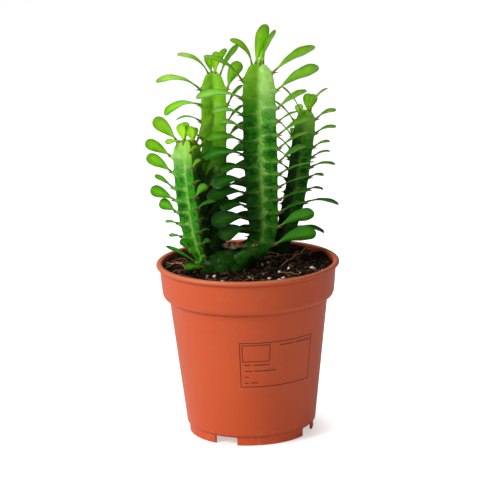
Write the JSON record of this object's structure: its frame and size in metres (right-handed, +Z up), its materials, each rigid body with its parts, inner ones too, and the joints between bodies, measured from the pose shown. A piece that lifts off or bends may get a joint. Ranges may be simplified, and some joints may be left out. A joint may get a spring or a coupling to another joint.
{
  "type": "potted african milk tree",
  "caption": "African milk tree in a terracotta-coloured nursery pot: upright three-ribbed green stems with spines and small leaves in dark potting mix",
  "frame": {"origin": "on the ground under the middle of the pot, at the bottom centre of the whole object's box", "axes": "+Z is up along the pot's axis, -Y is the front that the picture shows, +X is to the right in the picture"},
  "size_m": [0.1266, 0.12, 0.2694],
  "materials": {
    "pot": "satin terracotta-orange plastic with a fine grain",
    "soil": "damp dark peat with white perlite grains",
    "plant": "waxy green skin with paler mottling, and soft satin leaves"
  },
  "bodies": {
    "root": {"pot": "pot", "soil": "soil", "stems_front": "plant", "stem_back_left": "plant", "stem_back_right": "plant"}
  },
  "joints": []
}
